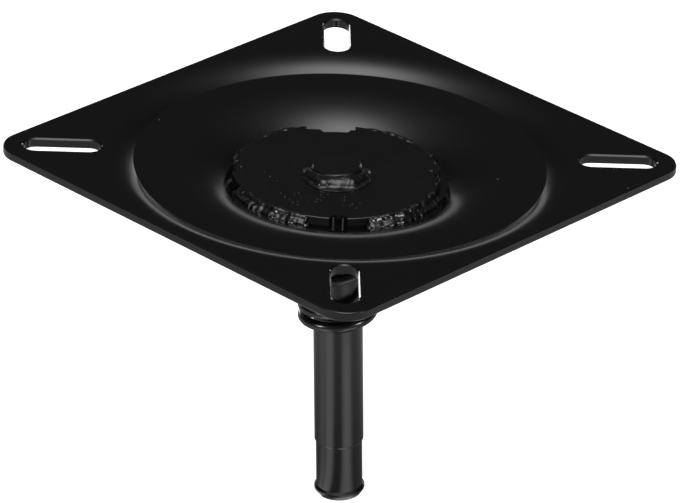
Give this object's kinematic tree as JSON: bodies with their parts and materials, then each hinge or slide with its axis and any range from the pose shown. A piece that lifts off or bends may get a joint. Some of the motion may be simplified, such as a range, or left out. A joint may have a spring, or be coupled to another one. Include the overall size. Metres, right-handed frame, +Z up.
{
  "type": "seat mount",
  "caption": "Square stamped seat plate with diagonal slots and a round dish, welded through a notched disc to a swivel pin that carries a coil spring.",
  "frame": {"origin": "middle of the seat plate's top face", "axes": "+Z up, out of the plate's top face; X and Y along the plate's diagonals, through its corner slots; the pin's foot leans towards +X"},
  "size_m": [0.2424, 0.2424, 0.1404],
  "materials": {
    "plate_coat": "semi-gloss black coat",
    "pin_coat": "semi-gloss black coat",
    "weld_coat": "glossy black coat over rough weld",
    "spring_coat": "glossy black coat"
  },
  "bodies": {
    "mount": {"seat_plate": "plate_coat", "hub_disc": "plate_coat", "weld_front_right": "weld_coat", "weld_back_right": "weld_coat", "weld_back_left": "weld_coat", "weld_front_left": "weld_coat", "swivel_pin": "pin_coat", "pin_weld": "weld_coat"},
    "coil": {"spring": "spring_coat"}
  },
  "joints": [
    {"name": "spring_travel", "type": "slide", "parent": "mount", "child": "coil", "axis": [-0.0471, 0, 0.9989], "range_m": [0, 0.017], "stiffness_N_per_m": 500, "deforming": ["spring"]}
  ]
}
